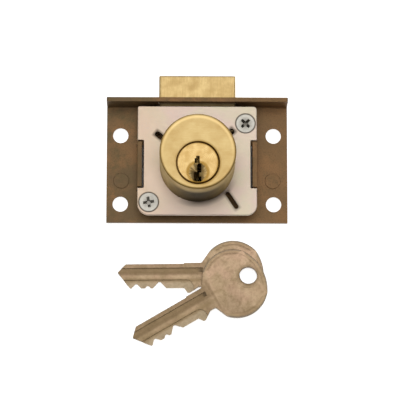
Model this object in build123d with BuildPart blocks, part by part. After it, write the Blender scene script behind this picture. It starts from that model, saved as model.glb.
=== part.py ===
from build123d import *
import os
from math import cos, pi, radians, sin, sqrt, tan

os.makedirs("parts", exist_ok=True)

# A cut cupboard lock and its two keys, in millimetres. The barrel's axis is the Z axis,
# the back plate's rear face is z = 0 and the bolt shoots towards +Y. The keys lie on z = 0.

# Back plate and selvedge
plate_width = 64.0
plate_below_axis = 19.3
selvedge_above_axis = 24.1
plate_sheet = 1.5
bend_inner_radius = 0.8
selvedge_corner_radius = 0.6
selvedge_lead = 1.5
fixing_hole_radius = 2.72
fixing_sink_radius = 3.7
fixing_hole_inset = 4.9
fixing_hole_rise = 6.6
fixing_row_spacing = 24.8
mark_radius = 2.8
mark_height = 0.3
mark_inset = 5.2
mark_drop = 4.3
mark_draft = 0.15

# Case: the cap plate and the two ears lanced up beside it
case_gap = 6.0
cap_sheet = 1.2
side_flange = 11.0
cap_selvedge_gap = 1.4
cap_bottom_margin = 1.4
cap_upper_left_radius = 0.5
cap_upper_right_radius = 1.2
cap_lower_left_radius = 4.0
cap_lower_right_radius = 3.6
cap_edge_chamfer = 0.15
ear_length = 16.1
ear_centre_rise = 0.35
ear_gap = 0.65
ear_bend_radius = 0.5
ear_relief = 0.3
notch_end_gap = 0.5
notch_corner_radius = 0.3

# Slots in the cap
left_slot_angle = 141.6
left_slot_reach = 18.7
left_slot_width = 1.9
right_slot_angle = 45.0
right_slot_reach = 18.1
right_slot_width = 2.0
short_slot_overlap = 1.2
long_slot_x = 12.2
long_slot_drop = 12.6
long_slot_length = 7.0
long_slot_width = 1.6
long_slot_angle = -56.9

# Case screws, the tapped pillars they enter and the plain posts
screw_edge = 4.0
upper_screw_drop = 6.15
lower_screw_rise = 4.55
screw_radius = 2.0
screw_head_radius = 3.5
screw_head_gap = 0.06
screw_hole_gap = 0.2
screw_length = 6.6
screw_tip_chamfer = 0.3
upper_screw_turn = 45.0
lower_screw_turn = 9.0
recess_arm_width = 0.95
recess_radius = 1.95
recess_floor_radius = 0.7
recess_depth = 1.5
pillar_radius = 3.0
pillar_rivet_radius = 2.2
thread_gap = 0.05
thread_lead = 0.5
post_radius = 2.4
post_rivet_radius = 1.6

# Bolt
bolt_throw = 8.5
bolt_side_gap = 0.5
bolt_play = 0.1
bolt_slot_play = 0.2
bolt_slot_corner_radius = 0.3
bolt_edge_radius = 0.5
bolt_tip_radius = 0.4
bolt_head_clear = 3.4
tail_thickness = 2.2
tail_wall = 1.5
tail_corner_radius = 1.0
drive_slot_play = 0.22

# Headed stud that guides the bolt's tail
stud_offset = 5.5
stud_radius = 1.5
stud_head_radius = 2.4
stud_head_height = 0.7
stud_head_play = 0.2
stud_slot_play = 0.1
stud_slot_wall = 1.5

# Barrel and plug
barrel_length = 22.5
barrel_chamfer = 0.45
barrel_rim_wall = 1.95
plug_radius = 6.35
plug_play = 0.05
plug_lip = 0.75
plug_lip_thickness = 1.6
plug_lip_play = 0.15
plug_face_chamfer = 0.2
bore_mouth_chamfer = 0.35
spigot_wall = 1.5
spigot_play = 0.1
dimple_radius = 3.5
dimple_floor_radius = 0.5
dimple_depth = 1.1
dimple_drop = 3.3
plug_tail_radius = 3.2
plug_tail_flat = 2.2
plug_tail_proud = 0.2

# Open ring that keeps the plug in the barrel
ring_thickness = 0.45
ring_depth = 0.75
ring_proud = 1.05
ring_play = 0.05
ring_mouth_angle = 60.0

# Screws that hold the barrel to the cap from inside
barrel_screw_radius = 1.25
barrel_screw_head_radius = 2.1
barrel_screw_head_height = 1.0
barrel_screw_length = 6.0
barrel_screw_drop = 1.0
barrel_screw_edge_radius = 0.3
barrel_screw_slot_width = 0.6
barrel_screw_slot_depth = 0.5
barrel_thread_lead = 1.0

# Cam and drive pin, half a quarter turn on either side of square to the bolt
half_turn = 45.0
cam_play = 0.1
cam_thickness = 1.5
cam_hub_radius = 4.6
cam_arm_wall = 0.65
cam_hole_play = 0.05
drive_pin_radius = 1.25
drive_pin_lead = 0.2

# Pin stacks: key cuts are counted in steps, from the uncut first station inwards
pin_radius = 1.45
chamber_radius = 1.55
pin_pitch = 4.1
first_pin_depth = 4.5
key_code = (0, 3, 1, 2)
cut_step = 0.74
pin_tip_radius = 0.35
pin_tip_length = 0.9
pin_dome = 0.15
pin_shear_gap = 0.02
pin_key_gap = 0.05
driver_length = 4.2
driver_gap = 0.07
driver_chamfer = 0.2
chamber_floor_drop = 2.0
chamber_plug_length = 1.6
chamber_plug_inset = 0.25
chamber_plug_gap = 0.02
spring_wire_radius = 0.17
spring_radius = 1.1
spring_seat_gap = 0.03
spring_room = 4.73
spring_turns = 5

# Key: u runs from the ring hole to the tip, v from the ring hole towards the cut edge
key_thickness = 2.36
ring_hole_radius = 3.1
bow_end_u = 5.4
bow_corner_u = 2.75
bow_corner_v = 8.6
bow_bulge_u = 5.4
bow_bulge_v = 12.25
bow_front_u = 13.6
bow_front_v = 8.5
bow_corner_radius = 1.0
bow_rim = 1.3
bow_relief = 0.2
ring_hole_rim = 1.2
neck_u = 16.4
neck_v = 4.5
neck_radius = 0.8
valley_u = 15.5
valley_end_u = 17.6
valley_v = 3.95
stop_start_u = 20.6
stop_end_u = 21.4
stop_v = 5.95
stop_face_u = 22.6
spine_v = 4.2
blade_height = 8.45
blade_tip_past_cuts = 6.6
blade_tip_v = 1.35
tip_spine_past_cuts = 3.6
tip_slope_past_cuts = 2.2
tip_radius = 0.5
cut_flat = 0.7
cut_angle = 42.0
key_edge_chamfer = 0.1
key_gap = 0.06

# Wards, from the blade's spine up: grooves with walls on both sides, then ledges
ward_play = 0.12
right_groove_low = 1.5
right_groove_high = 2.9
right_groove_depth = 0.7
left_groove_low = 3.15
left_groove_high = 5.95
left_groove_depth = 1.1
groove_cutter_radius = 5.0
groove_end_u = 18.3
right_ledge_low = 5.75
right_ledge_depth = 0.6
left_ledge_low = 5.95
left_ledge_depth = 0.3
left_crown_low = 7.75
left_crown_depth = 0.8
ledge_end_u = 19.3
ledge_corner_radius = 2.5
keyway_left_share = 0.54
keyway_rim = 0.45
keyway_spine_gap = 0.45
keyway_top_gap = 0.15
keyway_top_radius = 0.3
keyway_end_gap = 0.15

# Where the keys lie
ring_hole_x = 17.95
ring_hole_below_plate = 19.4
lower_key_angle = 0.75
lower_key_right = 0.15
lower_key_up = 0.65
upper_key_angle = 30.4

overrun = 1.0

# Sizes worked out from the ones above
plate_half = plate_width / 2
cap_back = plate_sheet + case_gap
cap_front = cap_back + cap_sheet
barrel_front = cap_front + barrel_length
selvedge_depth = cap_front + selvedge_lead
selvedge_inner = selvedge_above_axis - plate_sheet
cap_half = plate_half - side_flange
cap_top = selvedge_inner - cap_selvedge_gap
cap_bottom = cap_bottom_margin - plate_below_axis
screw_x = cap_half - screw_edge
upper_screw_y = cap_top - upper_screw_drop
lower_screw_y = cap_bottom + lower_screw_rise
screw_places = ((screw_x, upper_screw_y), (-screw_x, lower_screw_y))
post_places = ((-screw_x, upper_screw_y), (screw_x, lower_screw_y))

# The plug sits low in the barrel, so that the pin stacks fit above it and a wall stays below it
lip_radius = plug_radius + plug_lip
driver_stack = driver_gap + driver_length + spring_room
pin_stack = plug_radius + driver_stack + chamber_plug_length + chamber_plug_inset
barrel_radius = (pin_stack + barrel_rim_wall + lip_radius + plug_lip_play) / 2

bolt_half = screw_x - pillar_radius - bolt_side_gap
bolt_bottom = plate_sheet + bolt_play
bolt_top = cap_back - bolt_play
bolt_tip_y = selvedge_above_axis + bolt_throw
plug_y = barrel_radius - pin_stack
head_back_y = bolt_throw + plug_y + cam_hub_radius + bolt_head_clear
tail_top = bolt_bottom + tail_thickness
drive_radius = bolt_throw / (2 * sin(radians(half_turn)))
drive_pin_x = drive_radius * cos(radians(half_turn))
drive_pin_y = plug_y + bolt_throw / 2
drive_slot_radius = drive_pin_radius + drive_slot_play
tail_half = drive_radius + drive_slot_radius + tail_wall
stud_x = -stud_offset
stud_y = -stud_offset
stud_slot_radius = stud_radius + stud_slot_play
tail_end_y = stud_y - stud_slot_radius - stud_slot_wall
stud_head_back = tail_top + stud_head_play

bore_radius = plug_radius + plug_play
lip_back = barrel_front - plug_lip_thickness
spigot_radius = bore_radius + spigot_wall
barrel_screw_x = (spigot_radius + barrel_radius) / 2
barrel_screw_back = cap_back - barrel_screw_head_height
cam_front = barrel_screw_back - cam_play
cam_back = cam_front - cam_thickness
cam_arm_radius = drive_pin_radius + cam_arm_wall
plug_tail_back = cam_back - plug_tail_proud
ring_front = cap_back - ring_play
ring_back = ring_front - ring_thickness
ring_seat_radius = plug_radius - ring_depth

pin_places = [barrel_front - first_pin_depth - number * pin_pitch for number in range(len(key_code))]
cut_depths = [steps * cut_step for steps in key_code]
last_cut_u = stop_face_u + first_pin_depth + (len(key_code) - 1) * pin_pitch
blade_tip_u = last_cut_u + blade_tip_past_cuts
tip_spine_u = last_cut_u + tip_spine_past_cuts
tip_cut_u = last_cut_u + tip_slope_past_cuts
full_cut_v = blade_height - spine_v
keyway_width = key_thickness + 2 * ward_play
keyway_left = keyway_left_share * keyway_width
keyway_floor = plug_y - lip_radius + keyway_rim
blade_spine_y = keyway_floor + keyway_spine_gap
keyway_height = keyway_spine_gap + blade_height + keyway_top_gap
keyway_length = blade_tip_u - stop_face_u + keyway_end_gap
driver_foot_y = plug_y + plug_radius + driver_gap
driver_top_y = driver_foot_y + driver_length
chamber_plug_y = barrel_radius - chamber_plug_inset - chamber_plug_length
ring_hole_y = -plate_below_axis - ring_hole_below_plate

# Wards as (low, high, depth), on the right and on the left of the keyway seen from its mouth
past_blade = spine_v + stop_v + ledge_corner_radius
right_grooves = ((right_groove_low, right_groove_high, right_groove_depth),)
left_grooves = ((left_groove_low, left_groove_high, left_groove_depth),)
right_ledges = ((right_ledge_low, past_blade, right_ledge_depth),)
left_ledges = (
    (left_ledge_low, past_blade, left_ledge_depth),
    (left_crown_low, past_blade, left_crown_depth),
)

# Back plate: sheet and selvedge, the bend between them, then windows, ears, marks and holes
with BuildPart() as back_plate:
    with BuildSketch():
        with Locations((0, (selvedge_above_axis - plate_below_axis) / 2)):
            Rectangle(plate_width, plate_below_axis + selvedge_above_axis)
    extrude(amount=plate_sheet)
    with BuildSketch(Plane.XZ.offset(-selvedge_above_axis)) as selvedge:
        with Locations((0, selvedge_depth / 2)):
            Rectangle(plate_width, selvedge_depth)
        fillet(selvedge.vertices().group_by(Axis.Y)[-1], selvedge_corner_radius)
    extrude(amount=plate_sheet)
    outer_corner = back_plate.edges().filter_by(Axis.X).sort_by_distance((0, selvedge_above_axis, 0))[0]
    fillet(outer_corner, bend_inner_radius + plate_sheet)
    inner_corner = back_plate.edges().filter_by(Axis.X).sort_by_distance((0, selvedge_inner, plate_sheet))[0]
    fillet(inner_corner, bend_inner_radius)
    with BuildSketch(Plane.XZ.offset(-selvedge_above_axis - overrun)):
        with Locations((0, plate_sheet + case_gap / 2)):
            RectangleRounded(2 * (bolt_half + bolt_slot_play), case_gap, bolt_slot_corner_radius)
    extrude(amount=plate_sheet + bend_inner_radius + 2 * overrun, mode=Mode.SUBTRACT)

    ear_inner_x = cap_half - plate_sheet
    ear_bend_x = cap_half + ear_bend_radius
    window_x = ear_inner_x - (cap_front - plate_sheet)
    with BuildSketch():
        with Locations(((window_x + ear_bend_x) / 2, ear_centre_rise)):
            Rectangle(ear_bend_x - window_x, ear_length + 2 * ear_relief)
        mirror(about=Plane.YZ)
    extrude(amount=plate_sheet, mode=Mode.SUBTRACT)
    with BuildSketch(Plane.XZ.offset(-ear_centre_rise - ear_length / 2)):
        with BuildLine():
            bend_centre = (ear_bend_x, plate_sheet + ear_bend_radius)
            outer_bend = CenterArc(bend_centre, plate_sheet + ear_bend_radius, 180, 90)
            inner_bend = CenterArc(bend_centre, ear_bend_radius, 180, 90)
            Line(outer_bend @ 1, inner_bend @ 1)
            Polyline(outer_bend @ 0, (ear_inner_x, cap_front), (cap_half, cap_front), inner_bend @ 0)
        make_face()
        mirror(about=Plane.YZ)
    extrude(amount=ear_length)

    mark_x = plate_half - mark_inset
    with Locations((-mark_x, -mark_drop, plate_sheet), (mark_x, -mark_drop, plate_sheet)):
        mark_top_radius = mark_radius - mark_draft
        Cone(mark_radius, mark_top_radius, mark_height, align=(Align.CENTER, Align.CENTER, Align.MIN))
    with Locations((-mark_x, -mark_drop), (mark_x, -mark_drop)):
        Cone(
            mark_radius,
            mark_radius - mark_draft,
            mark_height,
            align=(Align.CENTER, Align.CENTER, Align.MIN),
            mode=Mode.SUBTRACT,
        )
    fixing_row_middle = fixing_hole_rise + fixing_row_spacing / 2 - plate_below_axis
    with Locations(Plane(origin=(0, fixing_row_middle, 0), z_dir=(0, 0, -1))):
        with GridLocations(plate_width - 2 * fixing_hole_inset, fixing_row_spacing, 2, 2):
            CounterSinkHole(fixing_hole_radius, fixing_sink_radius, plate_sheet, 90)
    with BuildSketch():
        with Locations(*screw_places):
            Circle(pillar_rivet_radius)
        with Locations(*post_places):
            Circle(post_rivet_radius)
        with Locations((stud_x, stud_y)):
            Circle(stud_radius)
    extrude(amount=plate_sheet, mode=Mode.SUBTRACT)

# Cap plate: four different corners, notches for the ears, three slots, countersunk holes
with BuildPart() as cap_plate:
    with BuildSketch(Plane.XY.offset(cap_back)) as cap_outline:
        with Locations((0, (cap_top + cap_bottom) / 2)):
            Rectangle(2 * cap_half, cap_top - cap_bottom)
        cap_corners = (
            (-cap_half, cap_top, cap_upper_left_radius),
            (cap_half, cap_top, cap_upper_right_radius),
            (-cap_half, cap_bottom, cap_lower_left_radius),
            (cap_half, cap_bottom, cap_lower_right_radius),
        )
        for corner_x, corner_y, corner_radius in cap_corners:
            fillet(cap_outline.vertices().sort_by_distance((corner_x, corner_y))[0], corner_radius)
        with Locations((-cap_half, ear_centre_rise), (cap_half, ear_centre_rise)):
            RectangleRounded(
                2 * (plate_sheet + ear_gap),
                ear_length + 2 * notch_end_gap,
                notch_corner_radius,
                mode=Mode.SUBTRACT,
            )
    extrude(amount=cap_sheet)
    chamfer(cap_plate.faces().sort_by(Axis.Z)[-1].edges(), cap_edge_chamfer)
    short_slots = (
        (left_slot_angle, left_slot_reach, left_slot_width),
        (right_slot_angle, right_slot_reach, right_slot_width),
    )
    with BuildSketch(Plane.XY.offset(cap_back)):
        with Locations((0, plug_y)):
            Circle(spigot_radius + spigot_play)
        with Locations((-barrel_screw_x, -barrel_screw_drop), (barrel_screw_x, -barrel_screw_drop)):
            Circle(barrel_screw_radius + spigot_play)
        for slot_angle, slot_reach, slot_width in short_slots:
            slot_start = barrel_radius - short_slot_overlap
            slot_end = slot_reach - slot_width / 2
            with PolarLocations((slot_start + slot_end) / 2, 1, slot_angle):
                SlotCenterToCenter(slot_end - slot_start, slot_width)
        with Locations((long_slot_x, -long_slot_drop)):
            SlotOverall(long_slot_length, long_slot_width, rotation=long_slot_angle)
    extrude(amount=cap_sheet, mode=Mode.SUBTRACT)
    with Locations(*[(x, y, cap_front) for x, y in screw_places]):
        CounterSinkHole(screw_radius + screw_hole_gap, screw_head_radius, cap_sheet, 90)

# Case screws: a countersunk head flush with the cap and a cross recess that tapers inwards
with BuildPart() as screw_recess:
    with BuildSketch(Plane.XY.offset(cap_front - recess_depth)):
        Rectangle(2 * recess_radius, recess_arm_width)
        Rectangle(recess_arm_width, 2 * recess_radius)
    extrude(amount=recess_depth)
    with Locations((0, 0, cap_front)):
        Cone(
            recess_floor_radius,
            recess_radius,
            recess_depth,
            align=(Align.CENTER, Align.CENTER, Align.MAX),
            mode=Mode.INTERSECT,
        )

with BuildPart() as case_screw:
    with BuildSketch(Plane.XZ):
        with BuildLine():
            head_edge = screw_head_radius - screw_head_gap
            screw_end = cap_front - screw_length
            Polyline(
                (0, cap_front),
                (head_edge, cap_front),
                (screw_radius, cap_front - (head_edge - screw_radius)),
                (screw_radius, screw_end + screw_tip_chamfer),
                (screw_radius - screw_tip_chamfer, screw_end),
                (0, screw_end),
                close=True,
            )
        make_face()
    revolve(axis=Axis.Z)
    add(screw_recess.part, mode=Mode.SUBTRACT)

with BuildPart() as case_screws:
    for (place_x, place_y), turn in zip(screw_places, (upper_screw_turn, lower_screw_turn)):
        with Locations(Location((place_x, place_y, 0), (0, 0, turn))):
            add(case_screw.part)

# Tapped pillars, riveted into the plate, their tops sunk for the rest of the screw's cone
with BuildPart() as threaded_pillars:
    for place in screw_places:
        with BuildSketch():
            with Locations(place):
                Circle(pillar_rivet_radius)
        extrude(amount=plate_sheet)
        with BuildSketch(Plane.XY.offset(plate_sheet)):
            with Locations(place):
                Circle(pillar_radius)
        extrude(amount=case_gap)
    with Locations(*[(x, y, cap_back) for x, y in screw_places]):
        CounterSinkHole(
            screw_radius + thread_gap,
            screw_head_radius - cap_sheet,
            screw_length - cap_sheet + thread_lead,
            90,
        )

with BuildPart() as support_posts:
    for place in post_places:
        with BuildSketch():
            with Locations(place):
                Circle(post_rivet_radius)
        extrude(amount=plate_sheet)
        with BuildSketch(Plane.XY.offset(plate_sheet)):
            with Locations(place):
                Circle(post_radius)
        extrude(amount=case_gap)

# Stud whose head holds the bolt's tail down
with BuildPart() as guide_stud:
    with BuildSketch():
        with Locations((stud_x, stud_y)):
            Circle(stud_radius)
    extrude(amount=stud_head_back)
    with BuildSketch(Plane.XY.offset(stud_head_back)):
        with Locations((stud_x, stud_y)):
            Circle(stud_head_radius)
    extrude(amount=stud_head_height)

# Bolt: a thick head that fills the case's height and a thin tail under the cam
with BuildPart() as bolt:
    with BuildSketch(Plane.XY.offset(bolt_bottom)):
        with Locations((0, (head_back_y + bolt_tip_y) / 2)):
            Rectangle(2 * bolt_half, bolt_tip_y - head_back_y)
    extrude(amount=bolt_top - bolt_bottom)
    fillet(bolt.edges().filter_by(Axis.Y), bolt_edge_radius)
    fillet(bolt.faces().sort_by(Axis.Y)[-1].edges(), bolt_tip_radius)
    with BuildSketch(Plane.XY.offset(bolt_bottom)) as tail:
        with Locations((0, (tail_end_y + head_back_y) / 2)):
            Rectangle(2 * tail_half, head_back_y - tail_end_y)
        fillet(tail.vertices().group_by(Axis.Y)[0], tail_corner_radius)
    extrude(amount=tail_thickness)
    with BuildSketch(Plane.XY.offset(bolt_bottom)):
        with Locations(((drive_pin_x + drive_radius) / 2, drive_pin_y)):
            SlotCenterToCenter(drive_radius - drive_pin_x, 2 * drive_slot_radius)
        with Locations((stud_x, stud_y + bolt_throw / 2)):
            SlotCenterToCenter(bolt_throw, 2 * stud_slot_radius, rotation=90)
    extrude(amount=tail_thickness, mode=Mode.SUBTRACT)

# Barrel: spigot through the cap, stepped bore for the plug, four pin chambers
with BuildPart() as cylinder_body:
    with BuildSketch(Plane.XY.offset(cap_front)):
        Circle(barrel_radius)
    extrude(amount=barrel_length)
    chamfer(cylinder_body.faces().sort_by(Axis.Z)[-1].edges(), barrel_chamfer)
    with BuildSketch(Plane.XY.offset(cap_back)):
        with Locations((0, plug_y)):
            Circle(spigot_radius)
    extrude(amount=cap_sheet)
    with BuildSketch(Plane.XY.offset(cap_back)):
        with Locations((0, plug_y)):
            Circle(bore_radius)
    extrude(amount=barrel_front - cap_back, mode=Mode.SUBTRACT)
    with BuildSketch(Plane.XY.offset(lip_back)):
        with Locations((0, plug_y)):
            Circle(lip_radius + plug_lip_play)
    extrude(amount=plug_lip_thickness, mode=Mode.SUBTRACT)
    chamfer(cylinder_body.faces().sort_by(Axis.Z)[-1].inner_wires()[0].edges(), bore_mouth_chamfer)
    with BuildSketch(Plane.XZ.offset(-barrel_radius - overrun)):
        with Locations(*[(0, place) for place in pin_places]):
            Circle(chamber_radius)
    extrude(amount=barrel_radius + overrun - plug_y, mode=Mode.SUBTRACT)
    with BuildSketch(Plane.XY.offset(cap_front)):
        with Locations((-barrel_screw_x, -barrel_screw_drop), (barrel_screw_x, -barrel_screw_drop)):
            Circle(barrel_screw_radius + thread_gap)
    extrude(amount=barrel_screw_length - cap_sheet + barrel_thread_lead, mode=Mode.SUBTRACT)

# Slotted pan-head screws from inside the case into the barrel
with BuildPart() as cylinder_screws:
    for side in (-1, 1):
        place = (side * barrel_screw_x, -barrel_screw_drop)
        with BuildSketch(Plane.XY.offset(barrel_screw_back)):
            with Locations(place):
                Circle(barrel_screw_head_radius)
        extrude(amount=barrel_screw_head_height)
        head_face = cylinder_screws.faces().sort_by_distance((*place, barrel_screw_back))[0]
        fillet(head_face.edges(), barrel_screw_edge_radius)
        with BuildSketch(Plane.XY.offset(barrel_screw_back)):
            with Locations(place):
                Rectangle(2 * barrel_screw_head_radius, barrel_screw_slot_width)
        extrude(amount=barrel_screw_slot_depth, mode=Mode.SUBTRACT)
        with BuildSketch(Plane.XY.offset(cap_back)):
            with Locations(place):
                Circle(barrel_screw_radius)
        extrude(amount=barrel_screw_length)

# Plug: lip, barrel, ring groove and flatted tail, then dimple, keyway and pin chambers
with BuildPart() as plug:
    with BuildSketch(Plane.XY.offset(cam_front + cam_play)):
        with Locations((0, plug_y)):
            Circle(plug_radius)
    extrude(amount=lip_back - cam_front - cam_play)
    with BuildSketch(Plane.XY.offset(lip_back)):
        with Locations((0, plug_y)):
            Circle(lip_radius)
    extrude(amount=plug_lip_thickness)
    chamfer(plug.faces().sort_by(Axis.Z)[-1].edges(), plug_face_chamfer)
    with BuildSketch(Plane.XY.offset(ring_back - ring_play)):
        with Locations((0, plug_y)):
            Circle(plug_radius + overrun)
            Circle(ring_seat_radius, mode=Mode.SUBTRACT)
    extrude(amount=ring_thickness + 2 * ring_play, mode=Mode.SUBTRACT)
    with BuildSketch(Plane.XY.offset(plug_tail_back)):
        with Locations((0, plug_y)):
            Circle(plug_tail_radius)
            Rectangle(2 * plug_tail_flat, 2 * plug_tail_radius, mode=Mode.INTERSECT)
    extrude(amount=cam_front + cam_play - plug_tail_back)
    with Locations((0, plug_y - dimple_drop, barrel_front)):
        Cone(
            dimple_floor_radius,
            dimple_radius,
            dimple_depth,
            align=(Align.CENTER, Align.CENTER, Align.MAX),
            mode=Mode.SUBTRACT,
        )
    with BuildSketch(Plane.XY.offset(barrel_front - keyway_length)) as keyway:
        with Locations((-keyway_left, keyway_floor)):
            Rectangle(keyway_width, keyway_height, align=(Align.MIN, Align.MIN))
        for low, high, depth in right_grooves + right_ledges:
            with Locations((keyway_width - keyway_left, blade_spine_y + low)):
                Rectangle(depth, high - low, align=(Align.MAX, Align.MIN), mode=Mode.SUBTRACT)
        for low, high, depth in left_grooves + left_ledges:
            with Locations((-keyway_left, blade_spine_y + low)):
                Rectangle(depth, high - low, align=(Align.MIN, Align.MIN), mode=Mode.SUBTRACT)
        fillet(keyway.vertices().group_by(Axis.Y)[-1], keyway_top_radius)
    extrude(amount=keyway_length, mode=Mode.SUBTRACT)
    with BuildSketch(Plane.XZ.offset(-plug_y - plug_radius - overrun)):
        with Locations(*[(0, place) for place in pin_places]):
            Circle(chamber_radius)
    extrude(amount=overrun + plug_radius + chamber_floor_drop, mode=Mode.SUBTRACT)

# Open ring in the plug's groove, behind the barrel's spigot
with BuildPart() as retaining_ring:
    with BuildSketch(Plane.XY.offset(ring_back)):
        with Locations((0, plug_y)):
            Circle(plug_radius + ring_proud)
            Circle(ring_seat_radius + ring_play, mode=Mode.SUBTRACT)
        with BuildLine():
            mouth_reach = 2 * plug_radius
            mouth_half = mouth_reach * tan(radians(ring_mouth_angle / 2))
            Polyline(
                (0, plug_y),
                (-mouth_half, plug_y - mouth_reach),
                (mouth_half, plug_y - mouth_reach),
                close=True,
            )
        make_face(mode=Mode.SUBTRACT)
    extrude(amount=ring_thickness)

# Cam: a hub on the plug's flats and an arm that carries the drive pin
with BuildPart() as drive_cam:
    with BuildSketch(Plane.XY.offset(cam_back)):
        with BuildSketch(mode=Mode.PRIVATE) as cam_outline:
            with Locations((0, plug_y)):
                Circle(cam_hub_radius)
            with Locations((drive_pin_x, drive_pin_y)):
                Circle(cam_arm_radius)
            make_hull()
        add(cam_outline.sketch)
        with BuildSketch(mode=Mode.PRIVATE) as cam_hole:
            with Locations((0, plug_y)):
                Circle(plug_tail_radius + cam_hole_play)
                flat_span = 2 * (plug_tail_flat + cam_hole_play)
                Rectangle(flat_span, 2 * (plug_tail_radius + cam_hole_play), mode=Mode.INTERSECT)
        add(cam_hole.sketch, mode=Mode.SUBTRACT)
        with Locations((drive_pin_x, drive_pin_y)):
            Circle(drive_pin_radius, mode=Mode.SUBTRACT)
    extrude(amount=cam_thickness)

with BuildPart() as drive_pin:
    with BuildSketch(Plane.XY.offset(bolt_bottom + drive_pin_lead)):
        with Locations((drive_pin_x, drive_pin_y)):
            Circle(drive_pin_radius)
    extrude(amount=cam_front - bolt_bottom - drive_pin_lead)

# Bottom pins: a blunt cone on the key's cut and a domed end just under the shear line
bottom_pins = []
for place, cut_depth in zip(pin_places, cut_depths):
    tip_y = blade_spine_y + blade_height - cut_depth + pin_key_gap
    dome_y = plug_y + plug_radius - pin_shear_gap
    with BuildPart() as bottom_pin:
        with BuildSketch(Plane.XY.offset(place)):
            with BuildLine():
                TangentArc((0, dome_y), (pin_radius, dome_y - pin_dome), tangent=(1, 0))
                Polyline(
                    (pin_radius, dome_y - pin_dome),
                    (pin_radius, tip_y + pin_tip_length),
                    (pin_tip_radius, tip_y),
                    (0, tip_y),
                    (0, dome_y),
                )
            make_face()
        revolve(axis=Axis((0, 0, place), (0, 1, 0)))
    bottom_pins.append(bottom_pin)

# Driver pins and the plugs that close the chambers
with BuildPart() as driver_pins:
    with BuildSketch(Plane.XZ.offset(-driver_top_y)):
        with Locations(*[(0, place) for place in pin_places]):
            Circle(pin_radius)
    extrude(amount=driver_length)
    chamfer(driver_pins.edges().filter_by(GeomType.CIRCLE), driver_chamfer)

with BuildPart() as chamber_plugs:
    with BuildSketch(Plane.XZ.offset(-chamber_plug_y - chamber_plug_length)):
        with Locations(*[(0, place) for place in pin_places]):
            Circle(chamber_radius - chamber_plug_gap)
    extrude(amount=chamber_plug_length)

# Pin springs: each half turn of the helix is two arcs that meet in a common tangent
spring_start_y = driver_top_y + spring_seat_gap + spring_wire_radius
spring_end_y = chamber_plug_y - spring_seat_gap - spring_wire_radius
spring_pitch = (spring_end_y - spring_start_y) / spring_turns


def spring_point(turns, place):
    """Point on the spring's centre line after so many turns."""
    angle = 2 * pi * turns
    rise = spring_start_y + spring_pitch * turns
    return Vector(spring_radius * cos(angle), rise, place + spring_radius * sin(angle))


def spring_slope(turns):
    """Direction of the spring's centre line after so many turns."""
    angle = 2 * pi * turns
    around = 2 * pi * spring_radius
    return Vector(-around * sin(angle), spring_pitch, around * cos(angle)).normalized()


with BuildPart() as pin_springs:
    for place in pin_places:
        with BuildLine() as centre_line:
            for half in range(2 * spring_turns):
                start, finish = spring_point(half / 2, place), spring_point((half + 1) / 2, place)
                leave, arrive = spring_slope(half / 2), spring_slope((half + 1) / 2)
                chord, lean = start - finish, leave + arrive
                weight = 4 - lean.dot(lean)
                reach = chord.dot(lean) + sqrt(chord.dot(lean) ** 2 + weight * chord.dot(chord))
                first_control = start + leave * (reach / weight)
                second_control = finish - arrive * (reach / weight)
                joint = (first_control + second_control) * 0.5
                TangentArc(start, joint, tangent=leave)
                TangentArc(joint, finish, tangent=second_control - first_control)
        with BuildSketch(Plane(origin=spring_point(0, place), z_dir=spring_slope(0))):
            Circle(spring_wire_radius)
        sweep(path=centre_line.line)

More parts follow.
